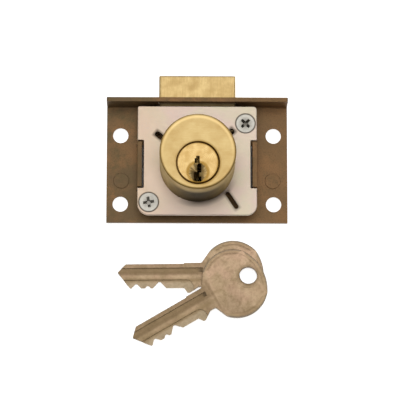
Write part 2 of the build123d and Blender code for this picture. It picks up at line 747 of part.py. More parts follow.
# Key blank: bow, neck, stop and blade with its cuts, flat on z = 0 with its left side down
with BuildPart() as key_blank:
    bow_arcs = (
        ((bow_front_u, bow_front_v), (bow_bulge_u, bow_bulge_v), (-bow_corner_u, bow_corner_v)),
        ((-bow_corner_u, bow_corner_v), (-bow_end_u, 0), (-bow_corner_u, -bow_corner_v)),
        ((-bow_corner_u, -bow_corner_v), (bow_bulge_u, -bow_bulge_v), (bow_front_u, -bow_front_v)),
    )
    # Cuts from the stop on, where two that run into each other share a crest
    cut_points = []
    cut_slope = tan(radians(cut_angle))
    for number, cut_depth in enumerate(cut_depths):
        cut_u = stop_face_u + first_pin_depth + number * pin_pitch
        cut_half = cut_flat / 2 + cut_depth * cut_slope
        floor_v = full_cut_v - cut_depth
        if cut_depth:
            if cut_points and cut_points[-1][0] + 2 * key_edge_chamfer > cut_u - cut_half:
                last_u, last_v = cut_points[-2]
                crest_u = (last_u + cut_u - cut_flat / 2 + (floor_v - last_v) * cut_slope) / 2
                cut_points[-1] = (crest_u, min(full_cut_v, last_v + (crest_u - last_u) / cut_slope))
            else:
                cut_points.append((cut_u - cut_half, full_cut_v))
            cut_points += [
                (cut_u - cut_flat / 2, floor_v),
                (cut_u + cut_flat / 2, floor_v),
                (cut_u + cut_half, full_cut_v),
            ]
    with BuildSketch() as outline:
        with BuildLine():
            for arc_points in bow_arcs:
                ThreePointArc(*arc_points)
            Polyline(
                (bow_front_u, -bow_front_v),
                (neck_u, -neck_v),
                (stop_face_u, -neck_v),
                (stop_face_u, -spine_v),
                (tip_spine_u, -spine_v),
                (blade_tip_u, -blade_tip_v),
                (tip_cut_u, full_cut_v),
                *reversed(cut_points),
                (stop_face_u, full_cut_v),
                (stop_end_u, stop_v),
                (stop_start_u, stop_v),
                (valley_end_u, valley_v),
                (valley_u, valley_v),
                (bow_front_u, bow_front_v),
            )
        make_face()
        fillet(outline.vertices().group_by(Axis.X)[0], bow_corner_radius)
        bow_corners = ((bow_front_u, bow_front_v), (bow_front_u, -bow_front_v))
        for corner in (*bow_corners, (neck_u, -neck_v), (valley_u, valley_v)):
            fillet(outline.vertices().sort_by_distance(corner)[0], neck_radius)
        fillet(outline.vertices().sort_by_distance((blade_tip_u, -blade_tip_v))[0], tip_radius)
        Circle(ring_hole_radius, mode=Mode.SUBTRACT)
    extrude(amount=key_thickness)
    chamfer(key_blank.faces().sort_by(Axis.Z)[-1].edges(), key_edge_chamfer)
    chamfer(key_blank.faces().sort_by(Axis.Z)[0].edges(), key_edge_chamfer)

    with BuildSketch(Plane.XY, Plane.XY.offset(key_thickness - bow_relief)):
        with BuildLine():
            for arc_points in bow_arcs:
                ThreePointArc(*arc_points)
            Line((bow_front_u, -bow_front_v), (bow_front_u, bow_front_v))
        make_face()
        offset(amount=-bow_rim, mode=Mode.REPLACE)
        Circle(ring_hole_radius + ring_hole_rim, mode=Mode.SUBTRACT)
    extrude(amount=bow_relief, mode=Mode.SUBTRACT)

    blade_end_u = blade_tip_u + overrun
    for low, high, depth in right_grooves:
        with BuildSketch(Plane.XZ.offset(spine_v - high - ward_play)):
            with Locations((groove_end_u, key_thickness - depth)):
                Rectangle(blade_end_u - groove_end_u, depth + overrun, align=(Align.MIN, Align.MIN))
            with Locations((groove_end_u, key_thickness - depth + groove_cutter_radius)):
                Circle(groove_cutter_radius)
        extrude(amount=high - low + 2 * ward_play, mode=Mode.SUBTRACT)
    for low, high, depth in left_grooves:
        with BuildSketch(Plane.XZ.offset(spine_v - high - ward_play)):
            with Locations((groove_end_u, depth)):
                Rectangle(blade_end_u - groove_end_u, depth + overrun, align=(Align.MIN, Align.MAX))
            with Locations((groove_end_u, depth - groove_cutter_radius)):
                Circle(groove_cutter_radius)
        extrude(amount=high - low + 2 * ward_play, mode=Mode.SUBTRACT)
    for ledge_plane, ledges in ((Plane.XY, left_ledges), (Plane.XY.offset(key_thickness), right_ledges)):
        for low, high, depth in ledges:
            with BuildSketch(ledge_plane) as ledge:
                with Locations((ledge_end_u, low - ward_play - spine_v)):
                    Rectangle(blade_end_u - ledge_end_u, high - low, align=(Align.MIN, Align.MIN))
                fillet(ledge.vertices().group_by(Axis.Y)[0].sort_by(Axis.X)[0], ledge_corner_radius)
            into_key = depth if ledge_plane == Plane.XY else -depth
            extrude(amount=into_key, mode=Mode.SUBTRACT)

# The two keys lie with their ring holes nearly over each other, cut edges towards the bottom
with BuildPart() as lower_key:
    direction = (-cos(radians(lower_key_angle)), -sin(radians(lower_key_angle)), 0)
    place = (ring_hole_x + lower_key_right, ring_hole_y + lower_key_up, 0)
    with Locations(Plane(origin=place, x_dir=direction)):
        add(key_blank.part)

with BuildPart() as upper_key:
    direction = (-cos(radians(upper_key_angle)), -sin(radians(upper_key_angle)), 0)
    with Locations(Plane(origin=(ring_hole_x, ring_hole_y, key_thickness + key_gap), x_dir=direction)):
        add(key_blank.part)

pieces = {
    "back_plate": back_plate,
    "cap_plate": cap_plate,
    "case_screws": case_screws,
    "threaded_pillars": threaded_pillars,
    "support_posts": support_posts,
    "guide_stud": guide_stud,
    "bolt": bolt,
    "cylinder_body": cylinder_body,
    "cylinder_screws": cylinder_screws,
    "plug": plug,
    "retaining_ring": retaining_ring,
    "drive_cam": drive_cam,
    "drive_pin": drive_pin,
    "driver_pins": driver_pins,
    "pin_springs": pin_springs,
    "chamber_plugs": chamber_plugs,
    "lower_key": lower_key,
    "upper_key": upper_key,
}
for number, bottom_pin in enumerate(bottom_pins, start=1):
    pieces[f"bottom_pin_{number}"] = bottom_pin

for name, piece in pieces.items():
    piece.part.label = name
    export_step(piece.part, f"parts/{name}.step")
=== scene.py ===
from math import cos, pi, prod, radians, sin

import bmesh
import bpy
from bpy.props import FloatProperty, FloatVectorProperty, IntProperty, PointerProperty
from mathutils import Matrix, Vector


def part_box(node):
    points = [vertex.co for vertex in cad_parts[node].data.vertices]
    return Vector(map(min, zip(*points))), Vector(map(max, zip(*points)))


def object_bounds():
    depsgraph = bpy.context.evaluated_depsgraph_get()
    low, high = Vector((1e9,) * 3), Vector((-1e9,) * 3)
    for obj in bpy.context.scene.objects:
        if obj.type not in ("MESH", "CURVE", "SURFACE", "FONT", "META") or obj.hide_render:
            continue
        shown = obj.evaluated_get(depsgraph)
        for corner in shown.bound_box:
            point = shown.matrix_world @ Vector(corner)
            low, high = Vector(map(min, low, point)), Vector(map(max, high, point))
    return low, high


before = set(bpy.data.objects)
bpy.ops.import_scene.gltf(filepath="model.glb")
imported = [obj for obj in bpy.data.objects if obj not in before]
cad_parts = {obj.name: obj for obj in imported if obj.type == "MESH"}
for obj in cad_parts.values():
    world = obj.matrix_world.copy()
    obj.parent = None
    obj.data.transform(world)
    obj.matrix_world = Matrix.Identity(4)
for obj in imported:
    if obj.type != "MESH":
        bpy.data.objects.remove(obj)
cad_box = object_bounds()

bl_info = {
    "name": "Cut Cupboard Lock",
    "version": (1, 0, 0),
    "blender": (4, 5, 0),
    "location": "3D Viewport > Sidebar > Lock",
    "description": "Finishes a cut cupboard lock with its cylinder, bolt and two keys",
    "category": "Object",
}

MM = 0.001
ORIGIN = (0, 0, 0)
WHITE = (1, 1, 1, 1)

# Radius of a case screw's head, whose middle is that far inside the corners of the box round both
SCREW_HEAD = 3.44 * MM

# Middle, angle in degrees, half length, half width and darkening round each slot in the cap
SLOTS = (
    ((-11.66 * MM, 9.24 * MM, 0), 141.6, 3.83 * MM, 0.95 * MM, 0.7),
    ((10.3 * MM, 10.3 * MM, 0), 45.0, 3.5 * MM, 1.0 * MM, 0.7),
    ((12.2 * MM, -12.6 * MM, 0), -56.9, 3.5 * MM, 0.8 * MM, 0.45),
)

# Ring hole, angle in degrees and share of painted shade on the blade of each key on the table
KEY_PLACES = {
    "lower_key": ((18.1 * MM, -38.05 * MM), 0.75, 0.2),
    "upper_key": ((17.95 * MM, -38.7 * MM), 30.4, 0.55),
}

# Points on the outline of a key's bow, from its ring hole along and across the key
FRONT = Vector((13.6, 8.5)) * MM
BULGE = Vector((5.4, 12.25)) * MM
CORNER = Vector((-2.75, 8.6)) * MM
END = Vector((-5.4, 0)) * MM
FLIP = Vector((1, -1))
BOW_ARCS = (
    (FRONT, BULGE, CORNER),
    (CORNER, END, CORNER * FLIP),
    (CORNER * FLIP, BULGE * FLIP, FRONT * FLIP),
)

# Fades on a key by the way they run, from nothing to full, in millimetres from its ring hole
KEY_FADES = {
    "blade": ("along", 12.0, 18.0),
    "spine": ("across", -2.5, -2.9),
    "below_spine": ("across", -2.9, -2.7),
    "upper_groove": ("across", -0.2, -1.2),
    "hollow_groove": ("across", 0.2, -0.8),
    "ledge": ("across", 1.6, 2.8),
    "cut_side": ("across", 2.0, 5.0),
    "bow_side": ("across", 3.0, 7.0),
    "bow_end": ("along", 4.0, -1.0),
    "cheek_side": ("across", 0.0, 5.0),
    "field_side": ("across", -7.0, 3.0),
    "inner": ("off_middle", 7.0, 5.0),
}

# Bands on a key by the way they are measured, with middle and reach in the same millimetres
KEY_BANDS = {
    "crease": ("across", -0.75, 0.85),
    "step": ("across", 1.65, 1.0),
    "field": ("along", 6.5, 5.0),
    "cheek": ("along", 10.5, 5.0),
    "border": ("along", 14.0, 0.7),
    "neck": ("along", 17.0, 4.0),
    "stop": ("along", 19.5, 3.0),
    "mouth": ("from_hole", 3.2, 1.1),
}

# Painted shade and tone on a key in the order in which they are laid: colour, share and the masks that
# are multiplied; all rows but the ledge's are painted shade in grooves, steps, creases and round the
# bow
BLADE_SHADE_AND_TONE = (
    ("key_groove_shade", 1.0, ("blade_shade", "blade")),
    ("key_shade", 0.35, ("blade", "spine")),
    ("key_groove_shade", 0.8, ("blade", "upper_groove", "below_spine")),
    ("key_shade", 0.5, ("blade", "crease")),
    ("key_shade", 0.6, ("blade_shade", "neck")),
    ("key_tarnish_and_shade", 0.4, ("bow_side", "bow_end")),
    ("key_shade", 0.4, ("border", "inner")),
    ("key_shade", 0.4, ("cheek", "cheek_side")),
    ("key_shade", 0.4, ("stop", "cut_side")),
    ("key_groove_shade", 0.75, ("blade", "step")),
    ("key_ledge", 0.6, ("blade", "hollow", "ledge")),
    ("key_shade", 0.3, ("blade", "hollow", "hollow_groove")),
)
# Painted shade on the bow's field and round its ring hole, then a random darkening
BOW_SHADE_AND_WEAR = (
    ("key_shade", 0.28, ("field", "field_side", "rough")),
    ("key_shade", 0.45, ("mouth",)),
    ("key_shade", 0.3, ("rubbed_and_lit",)),
)

# Painted shade inwards from the edge of a bow: colour, share and the fade in millimetres
BOW_EDGE_SHADE = (("key_tarnish_and_shade", 0.5, 2.2, 0.8), ("key_rim_shade", 0.55, 0.7, 0.2))


class Wire:
    """A shader socket that can be used in a sum, a product or a comparison."""

    def __init__(self, nodes, socket):
        self.nodes = nodes
        self.socket = socket

    def maths(self, operation, other=0, turned=False):
        """A Math node on this and another value, in the other order if turned."""
        pair = (other, self) if turned else (self, other)
        return self.nodes.node("ShaderNodeMath", {"operation": operation}, {0: pair[0], 1: pair[1]})

    def over(self, limit):
        """1 where this is more than the limit, 0 elsewhere."""
        return self.maths("GREATER_THAN", limit)

    def magnitude(self):
        """This without its sign."""
        return self.maths("ABSOLUTE")

    def __add__(self, other):
        return self.maths("ADD", other)

    def __radd__(self, other):
        return self.maths("ADD", other, True)

    def __sub__(self, other):
        return self.maths("SUBTRACT", other)

    def __rsub__(self, other):
        return self.maths("SUBTRACT", other, True)

    def __mul__(self, other):
        return self.maths("MULTIPLY", other)

    def __rmul__(self, other):
        return self.maths("MULTIPLY", other, True)


class Nodes:
    """A node tree whose nodes are added, set up and linked in one call."""

    def __init__(self, tree):
        self.tree = tree

    def node(self, kind, settings, values, output=0):
        """Adds a node, sets it up, fills its sockets and returns one of its outputs."""
        made = self.tree.nodes.new(kind)
        for name, setting in settings.items():
            setattr(made, name, setting)
        for name, value in values.items():
            if isinstance(value, Wire):
                self.tree.links.new(value.socket, made.inputs[name])
            else:
                made.inputs[name].default_value = value
        return Wire(self, made.outputs[output]) if made.outputs else None

    def vectors(self, operation, values, output="Vector"):
        """A Vector Math node on one or two vectors."""
        sockets = dict(enumerate(values))
        return self.node("ShaderNodeVectorMath", {"operation": operation}, sockets, output)


class Finish(Nodes):
    """A material with one Principled surface, whose colour is laid on in layers."""

    def __init__(self, name, colour, metallic):
        self.material = bpy.data.materials.new(name)
        self.material.use_nodes = True
        super().__init__(self.material.node_tree)
        self.surface = self.tree.nodes["Principled BSDF"]
        self.material.diffuse_color = opaque(colour)
        self.colour = colour
        self.feed("Metallic", metallic)
        self.place = self.node("ShaderNodeTexCoord", {}, {}, "Object")

    def feed(self, name, value):
        """Links a wire into one of the surface's sockets, or sets the socket's value."""
        if isinstance(value, Wire):
            self.tree.links.new(value.socket, self.surface.inputs[name])
        else:
            self.surface.inputs[name].default_value = value

    def layer(self, mask, colour):
        """Lays a colour over the finish as far as the mask goes."""
        self.colour = self.blend(mask, self.colour, colour)

    def complete(self, roughness, relief=None):
        """Feeds the colour, the roughness and the relief into the surface."""
        self.feed("Base Color", opaque(self.colour))
        self.feed("Roughness", roughness)
        if relief is not None:
            self.feed("Normal", relief)

    def moved(self, centre=ORIGIN, turn=(0, 0, 0), scale=(1, 1, 1)):
        """The object's own coordinates, seen from a centre and turned and scaled round it."""
        return self.node(
            "ShaderNodeMapping",
            {"vector_type": "TEXTURE"},
            {"Vector": self.place, "Location": centre, "Rotation": turn, "Scale": scale},
        )

    def turned(self, angle, centre=ORIGIN, scale=(1, 1, 1)):
        """The object's own coordinates, turned by some degrees about an upright line."""
        return self.moved(centre, (0, 0, radians(angle)), scale)

    def noise(self, size, detail=3.0, roughness=0.55, place=None, distortion=0.0):
        """Noise from 0 to 1 whose patches are about size metres across."""
        return self.node(
            "ShaderNodeTexNoise",
            {"noise_dimensions": "3D"},
            {
                "Vector": place or self.place,
                "Scale": 1 / size,
                "Detail": detail,
                "Roughness": roughness,
                "Distortion": distortion,
            },
        )

    def rings(self, spacing, place, distortion):
        """Turning rings about the upright axis, a little uneven."""
        return self.node(
            "ShaderNodeTexWave",
            {"wave_type": "RINGS", "rings_direction": "Z", "wave_profile": "SIN"},
            {"Vector": place, "Scale": 1 / spacing, "Distortion": distortion, "Detail": 2.0},
        )

    def spread(self, wire, low, high, start=0.0, end=1.0):
        """Stretches a wire's run from low to high over start to end."""
        return self.node(
            "ShaderNodeMapRange",
            {"clamp": True},
            {"Value": wire, "From Min": low, "From Max": high, "To Min": start, "To Max": end},
        )

    def near(self, wire, value, reach):
        """1 where a wire is near a value, fading to 0 at the reach from it."""
        core = 0.3
        return self.spread((wire - value).magnitude(), reach, core * reach)

    def along(self, axis, place=None):
        """The coordinate along the X, Y or Z axis."""
        return self.node("ShaderNodeSeparateXYZ", {}, {"Vector": place or self.place}, axis)

    def away(self, centre=ORIGIN, place=None):
        """Distance from an upright line through a point."""
        apart = self.vectors("SUBTRACT", (place or self.place, centre))
        flat = self.vectors("MULTIPLY", (apart, (1, 1, 0)))
        return self.vectors("LENGTH", (flat,), "Value")

    def blend(self, factor, first, second):
        """Mixes two colours."""
        return self.node(
            "ShaderNodeMix",
            {"data_type": "RGBA", "blend_type": "MIX"},
            {0: factor, 6: opaque(first), 7: opaque(second)},
            2,
        )

    def bump(self, height, depth, strength):
        """Raises the surface by height times depth metres."""
        values = {"Height": height, "Distance": depth, "Strength": strength}
        return self.node("ShaderNodeBump", {}, values)


def opaque(colour):
    """A colour with full alpha, or the wire as it is."""
    return colour if isinstance(colour, Wire) else (*colour, 1)


def srgb(red, green, blue):
    """A colour as it is seen on a screen, from 0 to 255, made linear."""
    return tuple(
        channel / 12.92 if channel <= 0.04045 else ((channel + 0.055) / 1.055) ** 2.4
        for channel in (red / 255, green / 255, blue / 255)
    )


def middle(node):
    """Centre of a CAD node's box."""
    low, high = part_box(node)
    return (low + high) / 2


def plug_lip():
    """Radius of the plug's lip."""
    low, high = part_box("plug")
    return (high.x - low.x) / 2


def screw_places():
    """Middles of the upper right and the lower left case screw."""
    low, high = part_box("case_screws")
    inwards = Vector((SCREW_HEAD, SCREW_HEAD, 0))
    return high - inwards, low + inwards


def bow_circles():
    """Middles and radii of the three arcs round a key's bow, seen from its ring hole."""
    for first, second, third in BOW_ARCS:
        chords = ((second - first), (third - first))
        shares = [chord.length_squared / 2 for chord in chords]
        cross = chords[0].x * chords[1].y - chords[0].y * chords[1].x
        offset = Vector(
            (
                (shares[0] * chords[1].y - shares[1] * chords[0].y) / cross,
                (chords[0].x * shares[1] - chords[1].x * shares[0]) / cross,
            )
        )
        yield (first + offset).to_3d(), offset.length


def colour_value(label, red, green, blue):
    """A colour that a user can change."""
    return FloatVectorProperty(
        name=label,
        description=f"Base colour of the {label.lower()}",
        subtype="COLOR",
        size=3,
        min=0,
        max=1,
        default=srgb(red, green, blue),
    )


def length_value(label, description, millimetres):
    """A length that a user can change."""
    return FloatProperty(
        name=label,
        description=description,
        unit="LENGTH",
        precision=5,
        min=0,
        default=millimetres * MM,
    )


def angle_value(label, description, degrees):
    """An angle that a user can change."""
    return FloatProperty(
        name=label, description=description, unit="ROTATION", default=radians(degrees)
    )


def camera_value(label, description, millimetres):
    """A size of the camera that a user can change."""
    return FloatProperty(name=label, description=description, unit="CAMERA", min=1, default=millimetres)


def share_value(label, description, value, most=1.0):
    """A share or a strength that a user can change."""
    return FloatProperty(
        name=label, description=description, subtype="FACTOR", min=0, max=most, default=value
    )


def place_value(label, description, place):
    """A place that a user can change."""
    return FloatVectorProperty(
        name=label, description=description, subtype="TRANSLATION", default=place
    )


class LockColours(bpy.types.PropertyGroup):
    """Colours of the lock's metals."""

    bronze: colour_value("Bronzed plate", 106, 84, 53)
    bronze_dark: colour_value("Bronze shadow tint", 92, 70, 42)
    bronze_red: colour_value("Bronze warm tint", 138, 101, 60)
    bronze_olive: colour_value("Bronze cool tint", 106, 88, 54)
    zinc: colour_value("Zinc plate", 199, 184, 164)
    zinc_pink: colour_value("Zinc pink tint", 198, 176, 166)
    zinc_green: colour_value("Zinc cool tint", 194, 184, 160)
    zinc_warm: colour_value("Zinc warm tint", 198, 172, 148)
    # Painted light, laid on the cap below the barrel
    zinc_painted_light: colour_value("Rubbed zinc", 232, 210, 192)
    barrel: colour_value("Barrel brass", 182, 159, 110)
    barrel_dark: colour_value("Barrel tarnish", 166, 136, 84)
    # Painted shade on the barrel's lower side, in the plug's keyway and along the bolt's edges
    brass_shade: colour_value("Barrel side", 60, 48, 19)
    plug: colour_value("Plug brass", 184, 157, 106)
    plug_dark: colour_value("Plug tarnish", 162, 130, 76)
    bolt: colour_value("Bolt brass", 224, 196, 138)
    bolt_dark: colour_value("Bolt tarnish", 198, 165, 106)
    pins: colour_value("Pin brass", 222, 190, 120)
    key: colour_value("Key metal", 182, 157, 127)
    # Key tarnish, also laid as painted shade near the bow's edge and corner
    key_tarnish_and_shade: colour_value("Key tarnish", 148, 126, 92)
    key_warm: colour_value("Key warm tint", 186, 154, 128)
    # Painted shade in the blade's grooves and steps
    key_groove_shade: colour_value("Key groove", 134, 113, 82)
    key_ledge: colour_value("Key ledge", 162, 147, 122)
    # Painted shade along the bow's outline
    key_rim_shade: colour_value("Key rim", 112, 104, 92)
    key_shade: colour_value("Key shade", 104, 84, 58)
    screw: colour_value("Screw steel", 180, 176, 166)
    steel: colour_value("Turned steel", 176, 174, 168)
    spring: colour_value("Spring steel", 120, 120, 124)
    stain: colour_value("Brass stain", 120, 88, 22)
    # Grime, also laid as painted shade in gaps and recesses, at the barrel's foot and on the bolt under
    # the selvedge
    grime: colour_value("Grime", 46, 36, 24)
    paper: colour_value("Floor paper", 243.445, 243.445, 243.445)


class LockEdges(bpy.types.PropertyGroup):
    """Widths and angles of the worn edges."""

    sheet: length_value("Sheet edge", "Width of the rounding on pressed sheet", 0.12)
    turned: length_value("Turned edge", "Width of the rounding on turned pieces", 0.08)
    segments: IntProperty(
        name="Segments", description="Steps in each rounded edge", min=1, max=6, default=2
    )
    weld: length_value("Weld reach", "Distance over which loose corners are joined", 0.002)
    flat: angle_value("Flat angle", "Angle under which faces count as one flat face", 0.4)
    worn: angle_value("Worn angle", "Angle over which an edge is rounded", 32)
    rounded_split: angle_value("Rounded split", "Angle over which a rounded piece shows an edge", 46)
    plain_split: angle_value("Plain split", "Angle over which any other piece shows an edge", 30)


class LockStudio(bpy.types.PropertyGroup):
    """Camera, floor and lamps."""

    azimuth: angle_value("Azimuth", "Camera's turn about the lock", -3.41)
    elevation: angle_value("Elevation", "Camera's height above the floor", 78.63)
    roll: angle_value("Roll", "Camera's turn about its own line of sight", 0.074)
    target: place_value("Target", "Point that the camera looks at", (1.04 * MM, -11.83 * MM, 5 * MM))
    distance: length_value("Distance", "From the camera to the point that it looks at", 850)
    lens: camera_value("Lens", "Focal length in millimetres", 217.3)
    sensor: camera_value("Sensor", "Sensor width in millimetres", 36)
    nearest: length_value("Nearest", "Nearest distance that the camera sees", 50)
    farthest: length_value("Farthest", "Farthest distance that the camera sees", 20000)
    lamp_place: place_value("Lamp", "Place of the soft box", (-0.9, 0.5, 1.0))
    lamp_width: length_value("Lamp width", "Width of the soft box", 600)
    lamp_height: length_value("Lamp height", "Height of the soft box", 400)
    lamp_strength: share_value("Lamp strength", "Radiance of the soft box", 0.6, 50)
    zenith: share_value("Zenith", "Radiance of the tent overhead", 2.22, 50)
    horizon: share_value("Horizon", "Radiance of the room round the lock", 0.3, 50)
    sky_start: share_value("Tent edge", "Cosine from the tent's middle at which the light starts", 0.86)
    sky_end: share_value("Tent top", "Cosine from the tent's middle at which the light is full", 0.97)
    sky_lean: angle_value("Tent lean", "Lean of the tent away from the camera", 6.5)
    floor_glow: share_value("Floor glow", "Light that the floor adds for the camera", 0.8, 5)
    shade_width: length_value("Shade width", "Half width of the unlit floor under the lock's case", 23)
    shade_depth: length_value("Shade depth", "Half depth of the unlit floor under the lock's case", 12)
    floor_size: length_value("Floor", "Half the floor's width", 3000)
    floor_drop: length_value("Floor gap", "Gap under the lock", 0.02)


def colours():
    """The colours that the scene holds."""
    return bpy.context.scene.lock_colours


def edges():
    """The edges' widths and angles that the scene holds."""
    return bpy.context.scene.lock_edges


def studio():
    """The camera, floor and lamp values that the scene holds."""
    return bpy.context.scene.lock_studio


def dress(nodes, finish):
    """Gives CAD nodes a finish."""
    for name in nodes:
        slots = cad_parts[name].data.materials
        slots.clear()
        slots.append(finish.material)


def round_edges(nodes, width=0):
    """Joins a CAD node's loose triangles, rounds its edges and shades it smooth between them."""
    look = edges()
    for name in nodes:
        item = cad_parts[name]
        weld = item.modifiers.new("Weld", "WELD")
        weld.merge_threshold = look.weld
        flat = item.modifiers.new("Flat faces", "DECIMATE")
        flat.decimate_type = "DISSOLVE"
        flat.angle_limit = look.flat
        if width:
            bevel = item.modifiers.new("Worn edges", "BEVEL")
            bevel.width = width
            bevel.segments = look.segments
            bevel.limit_method = "ANGLE"
            bevel.angle_limit = look.worn
            bevel.use_clamp_overlap = True
        split = item.modifiers.new("Sharp edges", "EDGE_SPLIT")
        split.split_angle = look.rounded_split if width else look.plain_split
        item.modifiers.new("Flat shading", "WEIGHTED_NORMAL")
        item.data.polygons.foreach_set("use_smooth", [True] * len(item.data.polygons))


class LockOperator(bpy.types.Operator):
    """Shared settings of the lock's operators."""

    bl_options = {"REGISTER", "UNDO"}


class LOCK_OT_plate(LockOperator):
    """Gives the back plate its mottled bronze"""

    bl_idname = "lock.plate"
    bl_label = "Bronze the Back Plate"

    broad_size = 14 * MM
    patch_size = 4 * MM
    speck_size = 0.5 * MM
    red_start = -30 * MM
    red_end = 32 * MM
    speck_depth = 0.006 * MM

    def execute(self, context):
        tint = colours()
        bronze = Finish("bronzed_steel", tint.bronze, 0.5)
        broad = bronze.noise(self.broad_size, 4.0, 0.6, distortion=0.6)
        patches = bronze.noise(self.patch_size, 5.0, 0.65)
        specks = bronze.noise(self.speck_size, 2.0)
        bronze.layer(bronze.spread(broad, 0.42, 0.66), tint.bronze_red)
        bronze.layer(bronze.spread(patches, 0.45, 0.65), tint.bronze_olive)
        # Painted light: the plate is laid warmer and lighter towards its right side
        right = bronze.spread(bronze.along("X"), self.red_start, self.red_end, 0, 0.6)
        bronze.layer(right, tint.bronze_red)
        bronze.layer(bronze.spread(specks, 0.5, 0.75, 0, 0.6), tint.bronze_dark)
        bronze.complete(0.4 + 0.16 * patches, bronze.bump(specks, self.speck_depth, 0.6))
        dress(["back_plate"], bronze)
        round_edges(["back_plate"], edges().sheet)
        return {"FINISHED"}


class LOCK_OT_cap(LockOperator):
    """Gives the cap plate its bright zinc with a faint rainbow"""

    bl_idname = "lock.cap"
    bl_label = "Zinc the Cap Plate"

    cloud_size = 16 * MM
    drift_size = 9 * MM
    dust_size = 0.8 * MM
    grain_size = 0.35 * MM
    drift_centre = (11 * MM, 7 * MM, 0)
    warm_start = -4 * MM
    warm_end = -18 * MM
    light_reach = 20 * MM
    light_turn = -25
    shadow_reach = 2.2 * MM
    shadow_turn = 20
    dark_start = 0.9 * MM
    dark_end = 0.1 * MM
    seam_reach = 0.4 * MM
    grain_depth = 0.004 * MM

    def darken_slots(self, zinc, grime):
        """Darkens the cap round its slots."""
        for centre, angle, half_length, half_width, darkening in SLOTS:
            slot = zinc.turned(angle, centre)
            darkness = darkening
            for axis, half in (("X", half_length), ("Y", half_width)):
                off_middle = zinc.along(axis, slot).magnitude()
                darkness = darkness * zinc.spread(off_middle, half + self.dark_start, half + self.dark_end)
            zinc.layer(darkness, grime)

    def execute(self, context):
        tint = colours()
        zinc = Finish("zinc_plate", tint.zinc, 0.92)
        cloud = zinc.noise(self.cloud_size, 3.0, 0.5, distortion=0.8)
        drift = zinc.noise(self.drift_size, 3.0, 0.5, place=zinc.moved(self.drift_centre))
        dust = zinc.noise(self.dust_size, 4.0, 0.6)
        grain = zinc.noise(self.grain_size, 2.0, place=zinc.moved(scale=(6, 1, 1)))
        zinc.layer(zinc.spread(cloud, 0.35, 0.65), tint.zinc_pink)
        zinc.layer(zinc.spread(drift, 0.42, 0.7), tint.zinc_green)
        left = zinc.spread(zinc.along("X"), self.warm_start, self.warm_end, 0, 0.6)
        zinc.layer(left, tint.zinc_warm)
        zinc.layer(zinc.spread(dust, 0.5, 0.75, 0, 0.25), tint.steel)
        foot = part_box("cylinder_body")[1].x
        around = zinc.away()
        # Painted light: a lighter patch on the cap below the barrel
        below = zinc.spread(zinc.along("Y", zinc.turned(self.light_turn)), -0.4 * foot, -foot)
        rubbed_and_lit = zinc.spread(around, self.light_reach, foot, 0, 0.8)
        zinc.layer(rubbed_and_lit * below, tint.zinc_painted_light)
        # Painted shadow: a dark ring on the cap round the lower side of the barrel's foot
        below = zinc.spread(zinc.along("Y", zinc.turned(self.shadow_turn)), -0.7 * foot, -0.95 * foot)
        painted_shade = zinc.spread(around, foot + self.shadow_reach, foot, 0, 0.8)
        zinc.layer(painted_shade * below, tint.grime)
        self.darken_slots(zinc, tint.grime)
        # Painted shade: a dark ring in the gap round each screw head
        for place in screw_places():
            zinc.layer(0.75 * zinc.near(zinc.away(place), SCREW_HEAD, self.seam_reach), tint.grime)
        zinc.complete(0.36 + 0.14 * grain, zinc.bump(grain, self.grain_depth, 0.5))
        dress(["cap_plate"], zinc)
        round_edges(["cap_plate"], edges().sheet)
        return {"FINISHED"}


